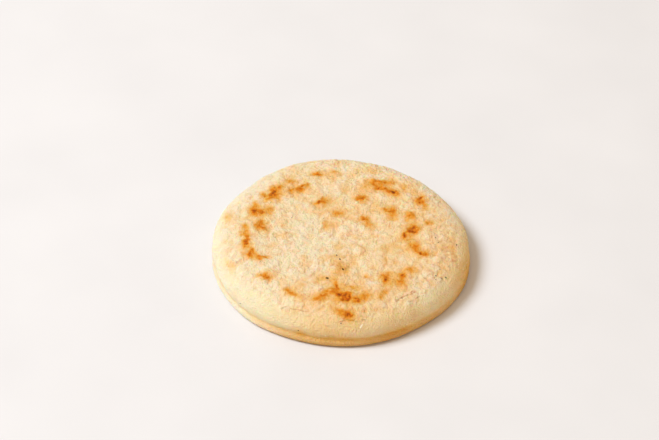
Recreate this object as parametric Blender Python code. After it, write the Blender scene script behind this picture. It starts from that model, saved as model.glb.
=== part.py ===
"""An arepa: a thick round griddle cake of white maize dough, one solid piece.

Metres, +Z up. The cake lies on its flat underside, with the origin in the middle of its footprint.
Going up its side there is a rolled foot, a crease, a full belly and a wide soft shoulder. The top is
nearly flat, with a low raised ring where the dough met the griddle around a shallow dip.
Angles are counted anticlockwise from +X, seen from above; the front is at -Y, 270 degrees.
"""

import math

import bmesh
import bpy

# Driving dimensions
DIAMETER = 0.120            # mean width of the patted round, at the foot
THICKNESS = 0.017           # underside to the highest point of the top

FOOT_ROUND = 0.0023         # radius of the rolled foot where the dough meets the griddle
FOOT_TURN = 145             # degrees that the roll turns, from the underside up into the crease
CREASE_HEIGHT = 0.0046      # height of the crease above the underside
CREASE_INSET = 0.0014       # depth of the crease, in from the foot, where it is deepest
CREASE_RISE = 0.0008        # from the crease up to where the dough turns out again
CREASE_TURN_INSET = 0.0012
BELLY_HEIGHT = 0.0072       # height at which the side bulges most, above the crease
BELLY_INSET = 0.0006        # how far the bulge stays inside the foot
SHOULDER_WIDTH = 0.0150     # from the bulge in to the edge of the flat top
SHOULDER_POWER = 0.9        # below 1 the shoulder starts steeper and rolls over later

RING_RADIUS = 0.0425        # the low raised ring that touched the griddle
RING_HALF_WIDTH = 0.0065
RING_RISE = 0.0004
DIP_RADIUS = 0.030          # the shallow dip inside the ring
DIP_DEPTH = 0.0005

# Waves of the hand-patted outline: lobes around the round, height in metres, angle of the first crest
OUTLINE_WAVES = (
    (3, 0.0004, -10),
    (4, 0.0002, 1),
    (6, 0.0002, -15),
    (7, 0.00015, 17),
)

# The crease is deepest at the front left and has smoothed out at the back right
CREASE_DEEPEST_ANGLE = 235
CREASE_FADE_POWER = 1.5

# Low mounds and hollows of the top: angle, distance from the middle, half-width, rise
TOP_SWELLS = (
    (140, 0.041, 0.009, 0.00035),
    (188, 0.044, 0.009, 0.00040),
    (232, 0.046, 0.008, -0.00025),
    (272, 0.044, 0.009, 0.00040),
    (318, 0.041, 0.008, 0.00025),
    (352, 0.040, 0.008, 0.00030),
    (45, 0.038, 0.010, 0.00035),
    (92, 0.043, 0.009, -0.00020),
    (170, 0.021, 0.009, -0.00025),
    (300, 0.018, 0.008, 0.00025),
    (60, 0.022, 0.009, 0.00020),
    (10, 0.016, 0.008, -0.00020),
)

SECTORS = 84                # steps around the cake
FOOT_STEPS = 5              # steps around the rolled foot
SHOULDER_STEPS = 11
TOP_RINGS = 11              # rings from the shoulder's inner edge to the middle
MERGE_DISTANCE = 1e-6

DOUGH_COLOUR = (0.84, 0.68, 0.42, 1.0)
DOUGH_ROUGHNESS = 0.65


def clear_scene():
    for item in list(bpy.data.objects):
        bpy.data.objects.remove(item, do_unlink=True)


def side_profile():
    """Half of the cake's section as (radius, height), from the foot's underside to the top's middle."""
    outer = DIAMETER / 2
    points = []
    for step in range(FOOT_STEPS + 1):
        turn = math.radians(-90 + FOOT_TURN * step / FOOT_STEPS)
        inset = FOOT_ROUND * (1 - math.cos(turn))
        points.append((outer - inset, FOOT_ROUND * (1 + math.sin(turn))))
    points.append((outer - CREASE_INSET, CREASE_HEIGHT))
    points.append((outer - CREASE_TURN_INSET, CREASE_HEIGHT + CREASE_RISE))
    for step in range(SHOULDER_STEPS + 1):
        turn = math.radians(90 * step / SHOULDER_STEPS)
        inset = BELLY_INSET + SHOULDER_WIDTH * (1 - math.cos(turn) ** SHOULDER_POWER)
        rise = (THICKNESS - BELLY_HEIGHT) * math.sin(turn)
        points.append((outer - inset, BELLY_HEIGHT + rise))
    top_edge = outer - BELLY_INSET - SHOULDER_WIDTH
    for ring in range(1, TOP_RINGS + 1):
        points.append((top_edge * (1 - ring / TOP_RINGS), THICKNESS))
    return points


def turned_solid(profile):
    """Spin the profile once around the upright axis, join its seam and middle, and close the underside."""
    mesh = bmesh.new()
    points = [mesh.verts.new((radius, 0, height)) for radius, height in profile]
    edges = [mesh.edges.new(pair) for pair in zip(points, points[1:])]
    bmesh.ops.spin(
        mesh,
        geom=points + edges,
        cent=(0, 0, 0),
        axis=(0, 0, 1),
        angle=math.tau,
        steps=SECTORS,
    )
    bmesh.ops.remove_doubles(mesh, verts=mesh.verts, dist=MERGE_DISTANCE)
    rim = [edge for edge in mesh.edges if edge.is_boundary]
    bmesh.ops.edgeloop_fill(mesh, edges=rim)
    return mesh


def outline_wave(angle):
    return sum(rise * math.cos(lobes * (angle - math.radians(crest))) for lobes, rise, crest in OUTLINE_WAVES)


def crease_strength(angle):
    """One where the crease is deepest, nought on the far side of the cake."""
    turn = angle - math.radians(CREASE_DEEPEST_ANGLE)
    return (0.5 + 0.5 * math.cos(turn)) ** CREASE_FADE_POWER


def crease_fill(angle, radius, height):
    """How far the wall moves out where the crease has smoothed out and it runs straight up to the belly."""
    rise = (height - FOOT_ROUND) / (BELLY_HEIGHT - FOOT_ROUND)
    if not 0 < rise < 1:
        return 0.0
    inset = DIAMETER / 2 - radius
    return (inset - BELLY_INSET * rise) * (1 - crease_strength(angle))


def top_relief(x, y):
    """Height of the top's ring, dip, mounds and hollows above its mean plane."""
    radius = math.hypot(x, y)
    relief = RING_RISE * math.exp(-(((radius - RING_RADIUS) / RING_HALF_WIDTH) ** 2))
    relief -= DIP_DEPTH * math.exp(-((radius / DIP_RADIUS) ** 4))
    for degrees, distance, half_width, rise in TOP_SWELLS:
        turn = math.radians(degrees)
        away = math.hypot(x - distance * math.cos(turn), y - distance * math.sin(turn))
        relief += rise * math.exp(-((away / half_width) ** 2))
    return relief


def pat_by_hand(mesh):
    """Give the turned solid its uneven outline, its fading crease and the relief of its top."""
    for point in mesh.verts:
        x, y, height = point.co
        radius = math.hypot(x, y)
        if radius < MERGE_DISTANCE:
            stretch = 1.0
        else:
            angle = math.atan2(y, x)
            shift = outline_wave(angle) * radius / (DIAMETER / 2) + crease_fill(angle, radius, height)
            stretch = 1 + shift / radius
        upper = max(0.0, (height - BELLY_HEIGHT) / (THICKNESS - BELLY_HEIGHT))
        point.co = (x * stretch, y * stretch, height + top_relief(x, y) * upper ** 2)


def settle(mesh):
    """Put the middle of the footprint at the origin and the highest point at the stated thickness."""
    width_x = [point.co.x for point in mesh.verts]
    width_y = [point.co.y for point in mesh.verts]
    middle_x = (min(width_x) + max(width_x)) / 2
    middle_y = (min(width_y) + max(width_y)) / 2
    squeeze = THICKNESS / max(point.co.z for point in mesh.verts)
    for point in mesh.verts:
        point.co = (point.co.x - middle_x, point.co.y - middle_y, point.co.z * squeeze)


def dough_material():
    material = bpy.data.materials.new("baked maize dough")
    material.use_nodes = True
    surface = material.node_tree.nodes["Principled BSDF"]
    surface.inputs["Base Color"].default_value = DOUGH_COLOUR
    surface.inputs["Roughness"].default_value = DOUGH_ROUGHNESS
    surface.inputs["Metallic"].default_value = 0.0
    return material


def corn_cake():
    mesh = turned_solid(side_profile())
    pat_by_hand(mesh)
    settle(mesh)
    bmesh.ops.recalc_face_normals(mesh, faces=mesh.faces)
    data = bpy.data.meshes.new("corn_cake")
    mesh.to_mesh(data)
    mesh.free()
    data.shade_smooth()
    data.materials.append(dough_material())
    cake = bpy.data.objects.new("corn_cake", data)
    bpy.context.scene.collection.objects.link(cake)
    return cake


clear_scene()
corn_cake()
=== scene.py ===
import math
import random

import bpy
import numpy as np
from mathutils import Euler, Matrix, Quaternion, Vector, noise


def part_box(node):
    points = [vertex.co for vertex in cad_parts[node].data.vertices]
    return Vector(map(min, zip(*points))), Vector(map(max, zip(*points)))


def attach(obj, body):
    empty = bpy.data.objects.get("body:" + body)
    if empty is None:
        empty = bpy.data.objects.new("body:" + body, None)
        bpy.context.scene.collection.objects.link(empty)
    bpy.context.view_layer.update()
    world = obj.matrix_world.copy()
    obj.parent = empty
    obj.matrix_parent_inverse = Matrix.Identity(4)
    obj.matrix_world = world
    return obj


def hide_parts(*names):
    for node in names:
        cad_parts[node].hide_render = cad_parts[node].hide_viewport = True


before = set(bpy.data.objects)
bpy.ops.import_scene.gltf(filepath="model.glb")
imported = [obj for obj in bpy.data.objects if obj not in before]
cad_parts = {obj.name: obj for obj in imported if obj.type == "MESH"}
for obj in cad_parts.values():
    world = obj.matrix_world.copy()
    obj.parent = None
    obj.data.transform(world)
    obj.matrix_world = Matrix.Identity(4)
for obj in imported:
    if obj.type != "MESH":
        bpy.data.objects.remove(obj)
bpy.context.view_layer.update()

MM = 0.001


# THE PATTED ROUND
# A ball of white maize dough patted flat between wet palms and laid on a hot griddle. The weight of
# the dough rolls a foot out along the bottom, with a crease above it that fades towards the back
# right; above the crease the side bulges and a wide soft shoulder rolls over to the top.
low, high = (Vector(corner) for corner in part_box("corn_cake"))
outer = (high.x - low.x) / 2
thickness = high.z - low.z
foot_round = 2.3 * MM
foot_turn = 145
crease_height, crease_inset, crease_side = 4.6 * MM, 1.4 * MM, 235
belly_height, belly_inset = 7.2 * MM, 0.6 * MM
shoulder_width, shoulder_power = 15.0 * MM, 0.9


def wall(height_share):
    """One point of the foot, crease and shoulder as (radius, height), from 0 at the foot to 1 at the top."""
    if height_share < 0.3:
        turn = math.radians(-90 + foot_turn * height_share / 0.3)
        return outer - foot_round * (1 - math.cos(turn)), foot_round * (1 + math.sin(turn))
    if height_share < 0.36:
        return outer - crease_inset, crease_height
    turn = math.radians(90 * (height_share - 0.36) / 0.64)
    inset = belly_inset + shoulder_width * (1 - math.cos(turn) ** shoulder_power)
    return outer - inset, belly_height + (thickness - belly_height) * math.sin(turn)


def top_height(radius):
    """The top's low ring, which lay on the griddle, and the shallow dip inside it."""
    ring = 0.4 * MM * math.exp(-((radius - 42.5 * MM) / (6.5 * MM)) ** 2)
    dip = 0.5 * MM * math.exp(-(radius / (30 * MM)) ** 4)
    return thickness + ring - dip


section = [wall(step / 30) for step in range(1, 31)]
inner = section[-1][0]
section += [(inner * (1 - ring / 12), top_height(inner * (1 - ring / 12))) for ring in range(1, 12)]

bpy.ops.object.select_all(action="DESELECT")
radius, height = wall(0)
bpy.ops.mesh.primitive_circle_add(vertices=144, radius=radius, fill_type="NGON", location=(0, 0, 0))
cake = bpy.context.active_object
cake.name = "griddled_cake"
bpy.ops.object.mode_set(mode="EDIT")
for next_radius, next_height in section:
    bpy.ops.mesh.extrude_region_move(TRANSFORM_OT_translate={"value": (0, 0, next_height - height)})
    share = next_radius / radius
    bpy.ops.transform.resize(value=(share, share, 1))
    radius, height = next_radius, next_height
bpy.ops.object.mode_set(mode="OBJECT")
bpy.ops.object.transform_apply(location=True, rotation=True, scale=True)

# The hand leaves the round a little out of true, and the crease smooths out away from the front left.
for point in cake.data.vertices:
    x, y, z = point.co
    radius, angle = math.hypot(x, y), math.degrees(math.atan2(y, x))
    if radius == 0:
        continue
    wave = sum(
        rise * MM * math.cos(math.radians(lobes * (angle - crest)))
        for lobes, rise, crest in ((3, 0.4, -10), (4, 0.2, 1), (6, 0.2, -15), (7, 0.15, 17))
    )
    share = (z - foot_round) / (belly_height - foot_round)
    if 0 < share < 1:
        faded = 1 - (0.5 + 0.5 * math.cos(math.radians(angle - crease_side))) ** 1.5
        wave += (outer - radius - belly_inset * share) * faded
    stretch = 1 + wave / radius * min(1, radius / outer)
    point.co = (x * stretch, y * stretch, z)

# Low mounds and hollows of the top, pulled up or pressed in one at a time:
# clock angle, distance from the middle, reach and rise in millimetres.
for angle, distance, reach, rise in (
    (140, 41, 15, 0.35), (188, 44, 15, 0.40), (232, 46, 13, -0.25), (272, 44, 15, 0.40),
    (318, 41, 13, 0.25), (352, 40, 13, 0.30), (45, 38, 16, 0.35), (92, 43, 15, -0.20),
    (170, 21, 15, -0.25), (300, 18, 13, 0.25), (60, 22, 15, 0.20), (10, 16, 13, -0.20),
):
    place = Vector((math.cos(math.radians(angle)), math.sin(math.radians(angle)), 0)) * distance * MM
    place.z = thickness
    bpy.ops.object.mode_set(mode="EDIT")
    bpy.ops.mesh.select_all(action="DESELECT")
    bpy.ops.object.mode_set(mode="OBJECT")
    nearest = min(cake.data.vertices, key=lambda point: (point.co - place).length)
    nearest.select = True
    bpy.ops.object.mode_set(mode="EDIT")
    bpy.ops.mesh.select_mode(type="VERT")
    bpy.ops.transform.translate(
        value=(0, 0, rise * MM),
        use_proportional_edit=True,
        proportional_edit_falloff="SMOOTH",
        proportional_size=reach * MM,
    )
bpy.ops.object.mode_set(mode="OBJECT")


def finish_with(piece, kind, **settings):
    """Add one modifier to a piece, set it and apply it."""
    modifier = piece.modifiers.new(kind.title(), kind)
    for setting, value in settings.items():
        setattr(modifier, setting, value)
    bpy.ops.object.modifier_apply(modifier=modifier.name)


finish_with(cake, "REMESH", mode="VOXEL", voxel_size=0.60 * MM)
finish_with(cake, "SMOOTH", factor=0.5, iterations=6)


# THE CRACKS
# Masa has no gluten, so a patted edge pulls apart in hairline cracks: one along the right shoulder,
# fainter ones at the front and left, and a nick across the foot. The mesh is made finer along them.
right_crack = ((25.7, -44.4), (27.6, -42.2), (30.6, -40.2), (32.6, -37.8), (34.1, -36.1))
right_tears = ((30.2, -43.6), (33.4, -42.4), (36.2, -39.6))
left_crack = ((-25.3, -49.2), (-23, -48.8), (-19.8, -50.2), (-16.7, -50.9), (-13.2, -51.8))
front_crack = ((-2, -56.6), (1, -56.2), (4, -55.4), (8, -55.8), (12, -54.8))
nick = ((5.3, -60, 0), (5.2, -58.6, 4.8))


def points_of(piece):
    """A piece's points as rows of x, y and z."""
    rows = np.empty(len(piece.data.vertices) * 3)
    piece.data.vertices.foreach_get("co", rows)
    return rows.reshape(-1, 3)


def stray(points, size, reach):
    """Push points about by soft noise of the given size, so that what is painted there gets a torn edge."""
    moved = points.copy()
    for row, point in enumerate(points):
        moved[row] += np.array(noise.noise_vector(Vector(point) / size)) * reach
    return moved


def along_line(points, bends, width):
    """1 on a line through the given bends and fading out to its edge."""
    on_line = np.zeros(len(points))
    for start, end in zip(bends, bends[1:]):
        start, end = np.array(start) * MM, np.array(end) * MM
        run = end - start
        share = np.clip(((points - start) @ run) / (run @ run), 0, 1)
        away = np.linalg.norm(points - start - share[:, None] * run, axis=1)
        on_line = np.maximum(on_line, np.exp(-(away / (width / 2)) ** 2))
    return on_line


def cracked_by(points, margin):
    """How deep the cracks cut at each point: broken dashes on the shoulder and one clean nick."""
    from_above = stray(points, 2.5 * MM, 0.3 * MM)[:, :2]
    dashes = np.array([0.75 + 1.1 * noise.noise(Vector(point) / (1.6 * MM)) for point in points])
    dashes = np.clip(dashes, 0, 1) * (points[:, 2] > 9 * MM)
    deep = np.zeros(len(points))
    for bends, depth in ((right_crack, 1.0), (right_tears, 0.6), (left_crack, 0.65), (front_crack, 0.7)):
        deep = np.maximum(deep, depth * dashes * along_line(from_above, bends, 0.5 * MM + margin))
    return np.maximum(deep, 0.8 * along_line(points, nick, 0.8 * MM + margin))


bpy.ops.object.mode_set(mode="EDIT")
bpy.ops.mesh.select_mode(type="VERT")
bpy.ops.mesh.select_all(action="DESELECT")
bpy.ops.object.mode_set(mode="OBJECT")
cake.data.vertices.foreach_set("select", cracked_by(points_of(cake), 1.4 * MM) > 0.1)
bpy.ops.object.mode_set(mode="EDIT")
bpy.ops.mesh.select_mode(type="VERT")
bpy.ops.mesh.subdivide(number_cuts=2)
bpy.ops.object.mode_set(mode="OBJECT")
cracked = cracked_by(points_of(cake), 0)


def weigh(piece, name, weights):
    """Paint a vertex group, point by point."""
    group = piece.vertex_groups.new(name=name)
    for row in np.nonzero(weights > 0.001)[0]:
        group.add([int(row)], float(weights[row]), "REPLACE")


def relief(piece, group, rise, grain=None, basis="BLENDER_ORIGINAL"):
    """Raise or press in the painted part of the skin, evenly or by a cloudy grain of the given size."""
    texture = None
    if grain:
        texture = bpy.data.textures.new(group, "CLOUDS")
        texture.noise_scale = grain
        texture.noise_depth = 1
        texture.noise_basis = basis
    finish_with(
        piece, "DISPLACE", texture=texture, texture_coords="LOCAL", vertex_group=group,
        strength=rise, mid_level=0.5 if grain else 0.0,
    )


weigh(cake, "cracks", cracked)
relief(cake, "cracks", -0.45 * MM)


# THE GRIDDLE MARKS
# The dough browned only where it touched the hot iron: a broken ring of blotches where the top stood
# highest and a few inside it. Each touch: millimetres right of and behind the middle, length, width,
# the way it runs in degrees and how brown it is, 1 being well toasted. A paler halo lies round each.
top_touches = (
    # left, back to front
    (-11.6, 41.1, 3.8, 2.4, 20, 0.80), (-12.5, 41.4, 5, 2.6, 10, 0.45), (-4, 42.7, 3, 3.5, 0, 0.42),
    (-24.4, 35.2, 5, 4, 150, 0.56), (-19.2, 30.9, 5.4, 3.4, 55, 0.78), (-22.8, 28.9, 6, 2.8, 15, 0.60),
    (-16.4, 32.6, 2.4, 3, 0, 0.45), (-9, 21.3, 3.8, 3.4, 20, 0.82), (-11.5, 20.5, 3, 2.2, 10, 0.62),
    (-7.2, 23.2, 4.5, 4, 20, 0.26), (-2.3, 13.2, 3.2, 4.4, 0, 0.34), (-0.6, 13.2, 4, 3.4, 0, 0.24),
    (-7.3, 6.5, 3, 5, 0, 0.24), (-29.2, 30.6, 3.6, 3.8, 0, 0.58), (-32, 28.8, 4, 4.6, 30, 0.66),
    (-33.3, 24.0, 3.4, 4.2, 0, 0.92), (-31.2, 26.2, 2.8, 3.2, 0, 0.80), (-37.2, 24.4, 2.4, 3.6, 0, 0.60),
    (-34.4, 21.4, 3.4, 3, 0, 0.72), (-30.5, 22, 5, 4, 40, 0.20), (-40.6, 18, 2, 3.6, 0, 0.55),
    (-40.3, 15.2, 2.6, 3.4, 0, 0.45), (-40.9, 12.4, 3.8, 4.6, 0, 0.60), (-37.4, 11.8, 4.6, 5, 0, 0.70),
    (-40, 9.6, 3, 3, 0, 0.52), (-33.6, 13.6, 4.2, 6, 0, 0.40), (-38.6, 2.8, 2.4, 3.8, 0, 0.84),
    (-36.2, 4.6, 4, 4, 0, 0.42), (-36, 0.6, 4, 5.4, 60, 0.50), (-44, 1, 3, 5.4, 0, 0.42),
    (-44.3, -3, 3.4, 3.2, 0, 0.60), (-43.2, -7.6, 3.2, 5.4, 0, 0.86), (-43, -10.9, 2.6, 3, 0, 0.86),
    (-40.4, -14.2, 1.8, 2.8, 0, 0.70), (-40.4, -16.9, 3.6, 4.4, 0, 0.80), (-37.9, -18.5, 2, 1.6, 0, 0.62),
    (-35, -18.9, 4.6, 2.4, 10, 0.58), (-36, -22, 4, 5, 0, 0.20), (-33.0, -31.5, 4.2, 3.8, 20, 0.80),
    (-35, -31, 4, 3, 0, 0.40), (-44.5, -16.5, 2.5, 4, 0, 0.25),
    # front, left to right
    (-20.8, -41.9, 4.6, 2.4, 140, 0.62), (-23.2, -40, 3.8, 2.8, 140, 0.42), (-17, -44, 3.6, 3, 0, 0.24),
    (-5.8, -32.2, 5.4, 4.2, 0, 0.30), (-1.1, -36.6, 2.2, 6, 10, 0.80), (-4.5, -40.6, 6.5, 4, 35, 0.52),
    (-7.6, -43.6, 7, 4.4, 40, 0.46), (-9.8, -45.6, 4.4, 3, 0, 0.30), (0, -41.6, 3, 2.6, 0, 0.62),
    (1.1, -41.9, 4.6, 2.4, 160, 1.02), (4.4, -42.8, 3, 2.2, 150, 0.70), (2.7, -45, 6.4, 4.6, 0, 0.84),
    (8.2, -45.3, 3, 3.2, 0, 0.90), (11.5, -43.2, 4.2, 4, 0, 0.56), (13.6, -42.6, 3, 3.6, 0, 0.26),
    (5.8, -37.8, 6, 2.8, 165, 0.36), (18.9, -41.9, 4.4, 2.6, 60, 0.42), (21, -39.2, 3.6, 3, 50, 0.32),
    (4.8, -53.6, 3.6, 2.8, 150, 0.90), (2.4, -52.6, 5.6, 2.6, 165, 0.46), (-0.6, -51.9, 4, 2.4, 150, 0.30),
    # right, front to back
    (20.5, -31.3, 2.8, 4.4, 0, 0.97), (21.6, -28, 5.4, 3.6, 20, 0.50), (28.3, -28.4, 3, 3.8, 0, 0.88),
    (27.6, -32.4, 4.4, 4.4, 0, 0.46), (24, -33.5, 7, 5, 20, 0.22), (32.2, -25.2, 4.8, 4, 20, 0.52),
    (29.5, -35.5, 6, 4, 20, 0.16), (12.1, -29.9, 1.8, 3, 0, 0.38), (36.6, -13.7, 2.8, 2.8, 0, 0.68),
    (38.6, -14.1, 4, 3.2, 0, 0.58), (35.1, -10, 2.8, 3.6, 0, 0.66), (33.4, -7.8, 5, 4, 0, 0.44),
    (29.6, -0.9, 2, 4.2, 0, 0.76), (31.8, -4, 4, 4, 0, 0.22), (33, 1.3, 4.2, 2.2, 0, 0.82),
    (33.7, 4.6, 4.2, 7.4, 0, 0.72), (36, 4.2, 3, 4, 0, 0.22), (32.6, 12.8, 5.4, 3.2, 120, 0.80),
    (31, 11, 3, 5, 0, 0.26), (40.9, 8.2, 3.8, 2.8, 0, 0.60), (36.8, 24.2, 4, 5.4, 0, 0.78),
    (38, 26.2, 2, 2, 0, 0.50), (39.3, 20.6, 3, 4.4, 0, 0.34), (34, 30.1, 2.6, 4.4, 0, 0.30),
    # back
    (18.3, 36.4, 9.4, 2.6, 175, 0.80), (15.6, 34.2, 6.6, 3.2, 165, 0.50), (16.9, 32, 3, 2, 160, 0.80),
    (20, 31.2, 4.4, 2.8, 155, 0.72), (24, 29.3, 5, 3.6, 155, 0.92), (26.6, 28.4, 4, 3, 140, 0.46),
    (23.6, 37.8, 5, 3, 0, 0.36), (29.4, 33.8, 3.2, 3.2, 0, 0.42), (11, 32, 4, 5, 0, 0.26),
    (14.7, 44.3, 4.4, 4, 0, 0.26), (8.4, 24.5, 3.4, 3.2, 0, 0.82), (10.8, 24.6, 3.4, 4.6, 0, 0.56),
    # inside the ring
    (23.4, 16.3, 4.4, 4, 0, 0.92), (20.6, 17.2, 3.6, 3, 0, 0.44), (24.3, 12.8, 5, 5.4, 0, 0.30),
    (16.8, 20, 5, 7, 0, 0.20), (10.6, 10.4, 3.8, 4.4, 130, 0.70), (13.7, 6, 2.8, 4.4, 20, 0.36),
    (12, 8, 3, 3, 0, 0.30), (-6, 3.5, 5, 6, 0, 0.22), (-26.5, 5, 4, 6, 0, 0.14), (-26, -4, 3, 6, 0, 0.18),
    (1, 13, 30, 13, 0, 0.10), (-16, -17.5, 2.4, 4, 0, 0.30), (-3, -17, 4, 5, 0, 0.22), (1, -25, 6, 9, 0, 0.28), (9.6, -9.2, 4.4, 2.2, 150, 0.22),
    (20.2, -18.6, 1.8, 7, 0, 0.20), (19.6, -10.6, 4, 4, 0, 0.16),
    (-17, -36.5, 4, 4, 0, 0.16),
    # shoulder
    (-52.5, 10.5, 4, 9, 20, 0.26), (-49.5, -22, 3, 9, 25, 0.18), (51.5, -7, 3, 12, 0, 0.18),
)


def touch(points, x, y, length, width, run=0.0):
    """A soft oval spot seen from above: 1 in its middle and fading out past its edge."""
    way = math.radians(run)
    right, behind = points[:, 0] - x, points[:, 1] - y
    along = (right * math.cos(way) + behind * math.sin(way)) / (length / 2)
    aside = (behind * math.cos(way) - right * math.sin(way)) / (width / 2)
    return np.exp(-along ** 2 - aside ** 2)


def browned_by(points, touches):
    """How brown the iron's touches leave each point, from 0, raw, to 1, well toasted, and a little over."""
    halo_margin, halo_share = 3.0 * MM, 0.28
    raw = np.ones(len(points))
    for x, y, length, width, run, strength in touches:
        x, y, length, width = (value * MM for value in (x, y, length, width))
        core = touch(points, x, y, length, width, run)
        halo = touch(points, x, y, length + halo_margin, width + halo_margin, run)
        raw *= (1 - min(strength, 0.97) * core) * (1 - halo_share * min(strength, 0.8) * halo)
        raw -= max(0, strength - 0.97) * core ** 2
    return 1 - raw


still = points_of(cake)
torn = stray(stray(still, 4 * MM, 0.8 * MM), 1.5 * MM, 0.6 * MM)
height = still[:, 2]
reach = np.hypot(still[:, 0], still[:, 1])
clock = np.degrees(np.arctan2(still[:, 1], still[:, 0])) % 360
on_top = np.clip((height - 9 * MM) / (3 * MM), 0, 1)
underneath = np.clip((0.8 * MM - height) / (0.6 * MM), 0, 1)

# The underside lay on the iron longer, so its marks are more and wider, thickest in a ring.
random.seed(11)
under_touches = []
for angle in range(0, 720, 14):
    turn = math.radians(angle + random.uniform(-6, 6))
    distance = random.choice((20, 34, 42, 48)) + random.uniform(-4, 4)
    under_touches.append((
        distance * math.cos(turn), distance * math.sin(turn), random.uniform(5, 11),
        random.uniform(3, 6), random.uniform(0, 180), random.uniform(0.3, 0.9),
    ))
browning = browned_by(torn, top_touches) * on_top + browned_by(torn, under_touches) * underneath


def round_the_clock(stops):
    """A value that changes evenly from stop to stop round the cake, from (clock angle, value) pairs."""
    return np.interp(clock, *zip(*stops), period=360)


# How far each part has dried and turned gold, with painted shade in it. The foot sat in the griddle's heat and took
# colour; foot, side and shoulder are also painted darker gold along the front and right, which face away from the
# window light, as painted shade, and stay ivory on the left, which faces the light.
foot = round_the_clock((
    (30, 0.30), (90, 0.20), (150, 0.06), (225, 0.00), (240, 0.15), (255, 0.36), (270, 0.34), (288, 0.39), (300, 0.37),
    (315, 0.40), (330, 0.36), (345, 0.44),
))
side = round_the_clock((
    (0, 0.29), (20, 0.20), (60, 0.12), (90, 0.08), (120, 0.03), (150, 0.00), (225, 0.00), (240, 0.06), (255, 0.11),
    (270, 0.22), (285, 0.07), (300, 0.15), (315, 0.04), (330, 0.14), (345, 0.35),
))
shoulder = round_the_clock((
    (0, 0.09), (30, 0.03), (60, 0.03), (90, 0.06), (135, 0.00), (195, -0.02), (220, -0.05), (240, 0.00), (255, 0.08), (270, 0.12), (300, 0.07), (315, 0.01),
    (330, 0.07), (345, 0.13),
))
dried = side + (foot - side) * np.exp(-(height / (5.5 * MM)) ** 2)
dried += (shoulder - side) * np.clip((height - 9 * MM) / (5 * MM), 0, 1)
dried -= 0.04 * np.exp(-(reach / (11 * MM)) ** 2) * on_top
# Painted shade: a band of darker gold along the crease, strongest at the front left where the crease is deepest.
crease_depth = (0.5 + 0.5 * np.cos(np.radians(clock - crease_side))) ** 1.5
dried += 0.13 * np.exp(-((height - 4.9 * MM) / (0.9 * MM)) ** 2) * crease_depth

# Warmer, darker patches on the side, mostly painted shade in the crease at the front and on the lower walls at the
# front right and right, which face away from the light: clock angle, height, width and depth in millimetres, and
# strength.
for angle, up, width, tall, strength in (
    (254, 6.2, 4.5, 4.5, 0.20), (273, 5.9, 14, 3.2, 0.12), (296, 4.6, 17, 6.0, 0.13), (347, 6.5, 14, 9, 0.08),
    (218, 8.5, 12, 5, 0.08),
):
    across = ((clock - angle + 180) % 360 - 180) * math.radians(1) * outer
    dried += strength * np.exp(-(across / (width / 2 * MM)) ** 2 - ((height - up * MM) / (tall / 2 * MM)) ** 2)
dried += 0.012 * np.exp(-((reach - 39 * MM) / (7 * MM)) ** 2) * on_top
dried += 0.034 * on_top
dried += 0.25 * underneath
inner_floor = underneath * np.clip((52 * MM - reach) / (14 * MM), 0, 1)
dried += (0.50 - dried) * inner_floor

# The rim that stood on the iron is sooty along the front and right, and is darkened there further as painted shade,
# where the cake meets the table away from the light.
soot_and_shade = round_the_clock(((30, 1.0), (60, 0.3), (150, 0), (225, 0), (250, 0.8), (300, 1.3), (330, 1.2), (345, 3.4), (360, 2.6)))
soot_and_shade *= np.exp(-(height / (3.0 * MM)) ** 2) * np.clip((reach - outer + 8 * MM) / (4 * MM), 0, 1)


# THE SKIN
# Griddled masa dries to a thin mealy skin: soft swells from patting, small lumps and blisters, fine
# grain, pits where steam broke through, and hairline cracks along the shoulder.
# Blisters: a few clear ones right of the middle, as x, y, width, length and rise, and many faint ones.
blisters = [
    (17.8, -19.8, 5.4, 8.4, 1.5), (8.8, -11.8, 4.6, 5.6, 1.3), (10.6, -20.6, 4.0, 5.0, 0.9), (19, -10.6, 4.4, 5.0, 0.8),
    (5.8, -26.5, 4.0, 5.0, 0.9), (13, -27.5, 4.4, 4.6, 1.0), (23.5, -17.5, 4.2, 5.0, 0.8), (2.4, -19.5, 3.6, 4.4, 0.8),
]
random.seed(5)
for number in range(360):
    turn, distance = random.uniform(0, math.tau), 56 * math.sqrt(random.random())
    size = random.choice((2.4, 3.2, 4.4))
    blisters.append((
        distance * math.cos(turn), distance * math.sin(turn), size * random.uniform(0.8, 1.2),
        size * random.uniform(0.8, 1.3), size ** 0.7 * random.uniform(0.08, 0.34),
    ))
blistered = np.zeros(len(still))
for x, y, width, length, rise in blisters:
    dome = touch(torn, x * MM, y * MM, width * MM, length * MM)
    blistered = np.maximum(blistered, rise * dome ** 0.5 * np.clip(dome * 4 - 0.6, 0, 1))

# Steam pits: a few anywhere, a cluster at the front of the middle and many along the right shoulder.
random.seed(7)
pitted = np.zeros(len(still))
for number in range(110):
    turn, distance = random.uniform(0, math.tau), 50 * math.sqrt(random.random())
    x, y, depth = distance * math.cos(turn), distance * math.sin(turn), random.uniform(0.1, 0.4)
    if number % 4 == 0:
        x, y, depth = random.gauss(0.5, 2.5), random.gauss(-22, 5), random.uniform(0.3, 1.0)
    if number % 4 in (1, 2):
        turn, distance = math.radians(random.gauss(345, 15)), random.gauss(48, 3.5)
        x, y, depth = distance * math.cos(turn), distance * math.sin(turn), random.uniform(0.2, 0.9)
    width = random.uniform(0.9, 1.7) * MM
    pitted = np.maximum(pitted, depth * touch(still, x * MM, y * MM, width, width) * on_top)


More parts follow.
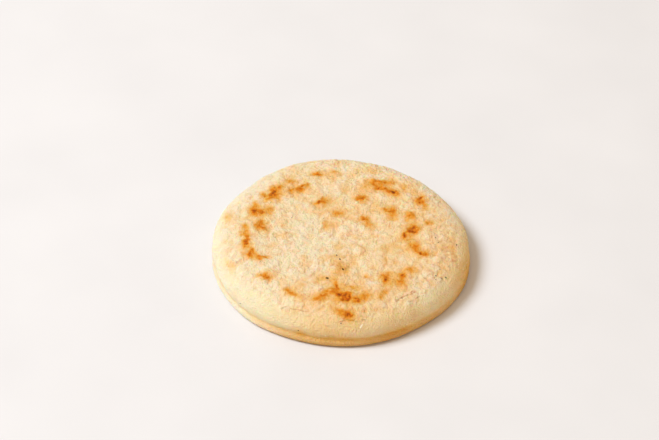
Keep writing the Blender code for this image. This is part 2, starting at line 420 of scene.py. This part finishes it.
griddled = np.clip((height - 13.2 * MM) / (2.6 * MM), 0, 1)
smooth_part = touch(still, 13 * MM, -19 * MM, 26 * MM, 24 * MM)
weigh(cake, "open skin", np.clip((height - 0.4 * MM) / (1.5 * MM), 0, 1))
lumpy = 0.25 * np.clip((height - 0.4 * MM) / (1.5 * MM), 0, 1) + 0.75 * griddled
weigh(cake, "griddled skin", lumpy * (1 - 0.6 * smooth_part))
weigh(cake, "browned", np.clip(browning, 0, 1) * on_top)
weigh(cake, "blisters", blistered * griddled / 1.5)
weigh(cake, "pits", pitted)
relief(cake, "open skin", 0.8 * MM, 14 * MM)
relief(cake, "griddled skin", 1.35 * MM, 4.0 * MM)
relief(cake, "griddled skin", 1.05 * MM, 1.5 * MM)
relief(cake, "blisters", 1.3 * MM)
relief(cake, "browned", 0.10 * MM)
relief(cake, "pits", -0.35 * MM)

# Fit the finished skin to the solid's own box, so that it rests where the solid rests.
rows = points_of(cake)
for axis in range(3):
    least, most = rows[:, axis].min(), rows[:, axis].max()
    rows[:, axis] = low[axis] + (rows[:, axis] - least) * (high[axis] - low[axis]) / (most - least)
cake.data.vertices.foreach_set("co", rows.ravel())
cake.data.update()
bpy.ops.object.select_all(action="DESELECT")
cake.select_set(True)
bpy.context.view_layer.objects.active = cake
bpy.ops.object.shade_smooth()


def hollows(piece, rounds):
    """How far each point lies below the skin round it, in metres."""
    rows = points_of(piece)
    facing = np.empty(rows.size)
    piece.data.vertex_normals.foreach_get("vector", facing)
    ends = np.empty(len(piece.data.edges) * 2, dtype=int)
    piece.data.edges.foreach_get("vertices", ends)
    here, there = np.concatenate((ends.reshape(-1, 2), ends.reshape(-1, 2)[:, ::-1])).T
    smooth = rows
    for _ in range(rounds):
        near = [np.bincount(here, smooth[there, axis]) / np.bincount(here) for axis in range(3)]
        smooth = np.stack(near, axis=1)
    return ((smooth - rows) * facing.reshape(-1, 3)).sum(axis=1)


def paint(piece, name, values):
    """Keep one number for each point, for the material to read."""
    layer = piece.data.attributes.new(name, "FLOAT", "POINT")
    layer.data.foreach_set("value", values.astype(np.float32))


paint(cake, "browning", browning)
paint(cake, "griddled", griddled + underneath)
# Painted shade: where the griddled top lies below the skin round it, it is painted a little warmer and darker.
paint(cake, "dried", dried + 0.04 * np.clip(hollows(cake, 10) / (0.08 * MM), -1, 1) * griddled)
# Painted shade in pits and cracks, with the rim's soot and shade, for the material to darken.
paint(cake, "broken", np.maximum(0.7 * pitted, 0.7 * cracked) + 0.55 * soot_and_shade)


# Baked white maize dough: a matt crumb that light sinks into and leaves warmer. As the skin dries and
# browns it runs from ivory through straw and gold to amber and dark toast, all on one scale.
def srgb(code):
    """A hex colour as linear red, green, blue and alpha."""
    parts = [int(code[place:place + 2], 16) / 255 for place in (1, 3, 5)]
    return [part / 12.92 if part <= 0.04045 else ((part + 0.055) / 1.055) ** 2.4 for part in parts] + [1.0]


def add(tree, kind, output, settings, sockets):
    """Add a node, set its options, fill or link its sockets, and give back one of its outputs."""
    node = tree.nodes.new(kind)
    for name, value in settings.items():
        if name == "stops":
            node.color_ramp.elements.remove(node.color_ramp.elements[1])
            node.color_ramp.elements[0].position = value[0][0]
            node.color_ramp.elements[0].color = srgb(value[0][1])
            for position, code in value[1:]:
                node.color_ramp.elements.new(position).color = srgb(code)
        else:
            setattr(node, name, value)
    for name, value in sockets.items():
        if isinstance(value, bpy.types.NodeSocket):
            tree.links.new(value, node.inputs[name])
        else:
            node.inputs[name].default_value = value
    return node.outputs[output]


dough = bpy.data.materials.new("griddled white maize dough")
dough.use_nodes = True
tree = dough.node_tree
surface = tree.nodes["Principled BSDF"]
place = add(tree, "ShaderNodeTexCoord", "Object", {}, {})
griddled = add(tree, "ShaderNodeAttribute", "Fac", {"attribute_name": "griddled"}, {})
browned = add(tree, "ShaderNodeAttribute", "Fac", {"attribute_name": "browning"}, {})
dried_and_shaded_in = add(tree, "ShaderNodeAttribute", "Fac", {"attribute_name": "dried"}, {})
broken = add(tree, "ShaderNodeAttribute", "Fac", {"attribute_name": "broken"}, {})

# Patches of 7 mm and 2.6 mm from uneven wetting and drying, plainest where the iron touched.
level = dried_and_shaded_in
patchy = add(tree, "ShaderNodeMapRange", "Result", {}, {"Value": griddled, "To Min": 0.30, "To Max": 1.0})
for size, swing, detail in ((7.0, 0.40, 1.0), (3.2, 0.20, 0.0)):
    patch = add(tree, "ShaderNodeTexNoise", "Fac", {}, {"Vector": place, "Scale": 1 / (size * MM), "Detail": detail})
    patch = add(tree, "ShaderNodeMath", 0, {"operation": "SUBTRACT"}, {0: patch, 1: 0.5})
    patch = add(tree, "ShaderNodeMath", 0, {"operation": "MULTIPLY"}, {0: patch, 1: patchy})
    level = add(tree, "ShaderNodeMath", 0, {"operation": "MULTIPLY_ADD"}, {0: patch, 1: swing, 2: level})

# The meal's grain, of 0.5 and 1.1 mm, with painted shade: the hollows between the grains are painted warmer than their
# tops.
fine = add(tree, "ShaderNodeTexNoise", "Fac", {}, {"Vector": place, "Scale": 1 / (0.5 * MM)})
coarse = add(tree, "ShaderNodeTexNoise", "Fac", {}, {"Vector": place, "Scale": 1 / (1.1 * MM)})
rough = add(tree, "ShaderNodeMath", 0, {"operation": "MULTIPLY_ADD"}, {0: coarse, 1: 1.3, 2: fine})
grain_shade = add(tree, "ShaderNodeMath", 0, {"operation": "SUBTRACT"}, {0: 1.15, 1: rough})
grain_shade = add(tree, "ShaderNodeMath", 0, {"operation": "MULTIPLY"}, {0: grain_shade, 1: patchy})
level = add(tree, "ShaderNodeMath", 0, {"operation": "MULTIPLY_ADD"}, {0: grain_shade, 1: 0.08, 2: level})

# Browning takes hold grain by grain, so each mark is broken up by specks of about 1.3 mm.
specks = add(
    tree, "ShaderNodeTexNoise", "Fac", {},
    {"Vector": place, "Scale": 1 / (2.0 * MM), "Detail": 1.0},
)
hold = add(
    tree, "ShaderNodeMapRange", "Result", {},
    {"Value": specks, "From Min": 0.3, "From Max": 0.7, "To Min": 0.72, "To Max": 1.34},
)
toast = add(tree, "ShaderNodeMath", 0, {"operation": "MULTIPLY"}, {0: browned, 1: hold})
left = add(tree, "ShaderNodeMath", 0, {"operation": "SUBTRACT"}, {0: 0.92, 1: level})
level = add(tree, "ShaderNodeMath", 0, {"operation": "MULTIPLY_ADD"}, {0: toast, 1: left, 2: level})
crumb = add(
    tree, "ShaderNodeValToRGB", "Color",
    {"stops": (
        (0.00, "#FFEDD2"), (0.11, "#FCDFB5"), (0.23, "#F5D097"), (0.35, "#F0C279"), (0.46, "#EDB359"),
        (0.57, "#E9A135"), (0.68, "#E28C15"), (0.79, "#D37605"), (0.90, "#B15A02"), (1.00, "#864203"),
    )},
    {"Fac": level},
)

# Painted shade: pits, cracks and the rim along the front and right are mixed towards a shadow brown, the rim partly
# soot.
dark = add(tree, "ShaderNodeMath", 0, {"operation": "MULTIPLY"}, {0: broken, 1: 0.7})
crumb = add(tree, "ShaderNodeMix", 2, {"data_type": "RGBA"}, {0: dark, 6: crumb, 7: srgb("#A5682A")})
drift = add(tree, "ShaderNodeTexNoise", "Fac", {}, {"Vector": place, "Scale": 1 / (5.0 * MM)})
drift = add(tree, "ShaderNodeMath", 0, {"operation": "SUBTRACT"}, {0: drift, 1: 0.5})
drift = add(tree, "ShaderNodeMath", 0, {"operation": "ADD"}, {0: drift, 1: griddled})
tint = add(
    tree, "ShaderNodeValToRGB", "Color",
    {"stops": ((0.00, "#FEFFF9"), (1.00, "#FFF8F0"))}, {"Fac": drift},
)
crumb = add(tree, "ShaderNodeMix", 2, {"data_type": "RGBA", "blend_type": "MULTIPLY"}, {0: 1.0, 6: crumb, 7: tint})
tree.links.new(crumb, surface.inputs["Base Color"])

# A dry, satin skin, its little shine broken up by the grain.
satin = add(tree, "ShaderNodeTexNoise", "Fac", {}, {"Vector": place, "Scale": 1 / (2.5 * MM)})
satin = add(tree, "ShaderNodeMapRange", "Result", {}, {"Value": satin, "To Min": 0.50, "To Max": 0.70})
tree.links.new(satin, surface.inputs["Roughness"])
bumps = add(tree, "ShaderNodeBump", "Normal", {}, {"Strength": 1.0, "Distance": 0.80 * MM, "Height": rough})
tree.links.new(bumps, surface.inputs["Normal"])
surface.inputs["Specular IOR Level"].default_value = 0.2
surface.inputs["Subsurface Weight"].default_value = 0.7
surface.inputs["Subsurface Radius"].default_value = (1.0, 0.45, 0.2)
surface.inputs["Subsurface Scale"].default_value = 1.2 * MM
cake.data.materials.clear()
cake.data.materials.append(dough)

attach(cake, "root")
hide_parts("corn_cake")


# THE HULL FLECKS
# Bits of maize hull that the milling left in the dough: dark, flat scales from a quarter of a
# millimetre to nearly two, pressed into the skin when the round was patted.
def press_in(shape, name, spots, thickness):
    """Lay a copy of a small shape flat on the skin nearest to each spot and join them into one piece.

    A spot is millimetres right of and behind the middle, height, length and width."""
    copies = []
    for right, behind, up, length, width in spots:
        _, seat, facing, _ = cake.closest_point_on_mesh(Vector((right, behind, up)) * MM)
        copy = shape.copy()
        copy.data = shape.data.copy()
        bpy.context.scene.collection.objects.link(copy)
        copy.location = seat
        turned = Quaternion((0, 0, 1), random.uniform(0, math.pi))
        copy.rotation_euler = (facing.to_track_quat("Z", "Y") @ turned).to_euler()
        copy.scale = (length, width, thickness)
        copies.append(copy)
    bpy.data.objects.remove(shape)
    bpy.ops.object.select_all(action="DESELECT")
    for copy in copies:
        copy.select_set(True)
    bpy.context.view_layer.objects.active = copies[0]
    bpy.ops.object.transform_apply(location=True, rotation=True, scale=True)
    bpy.ops.object.join()
    piece = bpy.context.active_object
    piece.name = name
    return piece


random.seed(23)
scales = [
    (-5.6, -31.9, 17, 1.7, 1.3), (-0.6, -18.2, 17, 1.4, 0.8), (1.5, -25.5, 17, 1.5, 1.0), (-1.2, -16.4, 17, 0.9, 0.6),
    (53.4, -4.7, 15, 1.4, 0.7), (47.9, -26.5, 14, 1.5, 0.6), (46.4, -27.6, 14, 1.0, 0.5), (43.9, -2.3, 17, 0.8, 0.5),
    (44.6, -5.5, 17, 0.9, 0.5), (43.4, -27.1, 15, 0.8, 0.5), (43.2, -29.4, 15, 0.7, 0.4), (1.0, -56.6, 12, 0.9, 0.4),
    (-44, -40, 7, 0.7, 0.4), (-18, -58, 7, 0.7, 0.5),
]
for number in range(16):
    turn, distance = random.uniform(0, math.tau), 53 * math.sqrt(random.random())
    size = random.uniform(0.25, 0.5)
    scales.append((distance * math.cos(turn), distance * math.sin(turn), 17, size, size * 0.7))
bpy.ops.object.select_all(action="DESELECT")
bpy.ops.mesh.primitive_ico_sphere_add(subdivisions=1, radius=0.5 * MM, location=(0, 0, 0))
hull = press_in(bpy.context.active_object, "hull_flecks", scales, 0.25)

# Toasted maize hull: a dark brown, nearly black husk, dull and a little mottled.
husk = bpy.data.materials.new("dark maize hull")
husk.use_nodes = True
tree = husk.node_tree
surface = tree.nodes["Principled BSDF"]
place = add(tree, "ShaderNodeTexCoord", "Object", {}, {})
mottle = add(tree, "ShaderNodeTexNoise", "Fac", {}, {"Vector": place, "Scale": 1 / (0.8 * MM)})
brown = add(tree, "ShaderNodeValToRGB", "Color", {"stops": ((0.35, "#331C08"), (0.65, "#65401A"))}, {"Fac": mottle})
tree.links.new(brown, surface.inputs["Base Color"])
surface.inputs["Roughness"].default_value = 0.9
surface.inputs["Specular IOR Level"].default_value = 0.05
hull.data.materials.append(husk)
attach(hull, "root")


# THE MEAL FLAKES
# Crumbs of dry masa that stuck to the outside after patting and stayed pale: one clear flake low on
# the front, and a scatter of specks round the side, from half a millimetre to one.
random.seed(31)
flakes = [(10.1, -57.2, 11, 2.6, 1.1), (12.2, -56.4, 11.5, 1.0, 0.7), (7.4, -58.4, 10.5, 0.8, 0.6)]
for number in range(60):
    turn = random.uniform(0, math.tau)
    size = random.uniform(0.5, 1.0)
    flakes.append((
        60 * math.cos(turn), 60 * math.sin(turn), random.uniform(6, 20), size, size * random.uniform(0.5, 0.9),
    ))
bpy.ops.object.select_all(action="DESELECT")
bpy.ops.mesh.primitive_ico_sphere_add(subdivisions=2, radius=0.5 * MM, location=(0, 0, 0))
bpy.ops.object.mode_set(mode="EDIT")
bpy.ops.transform.vertex_random(offset=0.08 * MM, seed=3)
bpy.ops.object.mode_set(mode="OBJECT")
meal = press_in(bpy.context.active_object, "meal_flakes", flakes, 0.35)
bpy.ops.object.shade_smooth()

# Dry masa crumb: chalky white maize, matt, a shade paler than the skin and warmer in patches.
crust = bpy.data.materials.new("dry masa crumb")
crust.use_nodes = True
tree = crust.node_tree
surface = tree.nodes["Principled BSDF"]
place = add(tree, "ShaderNodeTexCoord", "Object", {}, {})
mottle = add(tree, "ShaderNodeTexNoise", "Fac", {}, {"Vector": place, "Scale": 1 / (6.0 * MM)})
pale = add(tree, "ShaderNodeValToRGB", "Color", {"stops": ((0.35, "#FFEBCB"), (0.65, "#F8D9A8"))}, {"Fac": mottle})
tree.links.new(pale, surface.inputs["Base Color"])
surface.inputs["Roughness"].default_value = 0.65
surface.inputs["Specular IOR Level"].default_value = 0.25
surface.inputs["Subsurface Weight"].default_value = 0.5
surface.inputs["Subsurface Radius"].default_value = (1.0, 0.45, 0.2)
surface.inputs["Subsurface Scale"].default_value = 0.6 * MM
meal.data.materials.append(crust)
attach(meal, "root")


# THE TABLE, THE LIGHT AND THE CAMERA
# A plain warm-white top, a large cool window light from the left and a warm, pale room all round.
bpy.ops.object.select_all(action="DESELECT")
bpy.ops.mesh.primitive_plane_add(size=6, location=(0, 0, -0.05 * MM))
table = bpy.context.active_object
table.name = "table_top"
card = bpy.data.materials.new("matt white card")
card.use_nodes = True
tree = card.node_tree
surface = tree.nodes["Principled BSDF"]
place = add(tree, "ShaderNodeTexCoord", "Object", {}, {})
cloud = add(tree, "ShaderNodeTexNoise", "Fac", {}, {"Vector": place, "Scale": 1 / (60 * MM)})
white = add(tree, "ShaderNodeValToRGB", "Color", {"stops": ((0.3, "#E3E4E9"), (0.7, "#E7E8ED"))}, {"Fac": cloud})
tree.links.new(white, surface.inputs["Base Color"])
surface.inputs["Roughness"].default_value = 0.8
surface.inputs["Specular IOR Level"].default_value = 0.2
table.data.materials.append(card)

middle = Vector((0, 0, 8 * MM))
window = bpy.data.lights.new("window", "AREA")
window.shape = "DISK"
window.size = 1.4
window.energy = 79.0
window.color = (0.90, 0.945, 0.985)
window_stand = bpy.data.objects.new("window", window)
window_stand.location = middle + Euler((0, math.radians(-38), math.radians(5))).to_matrix() @ Vector((0, 0, 3.0))
window_stand.rotation_euler = (middle - window_stand.location).to_track_quat("-Z", "Y").to_euler()
bpy.context.scene.collection.objects.link(window_stand)

room = bpy.data.worlds.new("pale room")
room.use_nodes = True
tree = room.node_tree
seen = add(tree, "ShaderNodeLightPath", "Is Camera Ray", {}, {})
way = add(tree, "ShaderNodeTexCoord", "Generated", {}, {})
across = add(tree, "ShaderNodeVectorMath", "Value", {"operation": "DOT_PRODUCT"}, {0: way, 1: (0.40, -0.30, 0.0)})
across = add(tree, "ShaderNodeMath", 0, {"operation": "ADD"}, {0: across, 1: 0.5})
walls = add(tree, "ShaderNodeValToRGB", "Color", {"stops": ((0.0, "#AFB0B0"), (1.0, "#FFE0B4"))}, {"Fac": across})
fill = add(tree, "ShaderNodeBackground", 0, {}, {"Color": walls, "Strength": 0.80})
backdrop = add(tree, "ShaderNodeBackground", 0, {}, {"Color": srgb("#F2ECEA"), "Strength": 1.0})
shown = add(tree, "ShaderNodeMixShader", 0, {}, {0: seen, 1: fill, 2: backdrop})
tree.links.new(shown, tree.nodes["World Output"].inputs["Surface"])
bpy.context.scene.world = room

elevation, roll = math.radians(41.9), Quaternion((0, 0, 1), math.radians(1.33))
lens = bpy.data.cameras.new("camera")
lens.lens = 105.9
lens.sensor_width = 36
camera = bpy.data.objects.new("camera", lens)
camera.location = middle + Vector((0, -math.cos(elevation), math.sin(elevation))) * 0.9
turn = (middle - camera.location).to_track_quat("-Z", "Y") @ roll
aim = middle - turn @ Vector((5.4 * MM, -11.2 * MM, 0))
camera.rotation_euler = ((aim - camera.location).to_track_quat("-Z", "Y") @ roll).to_euler()
bpy.context.scene.collection.objects.link(camera)
bpy.context.scene.camera = camera
bpy.context.scene.view_settings.view_transform = "Standard"
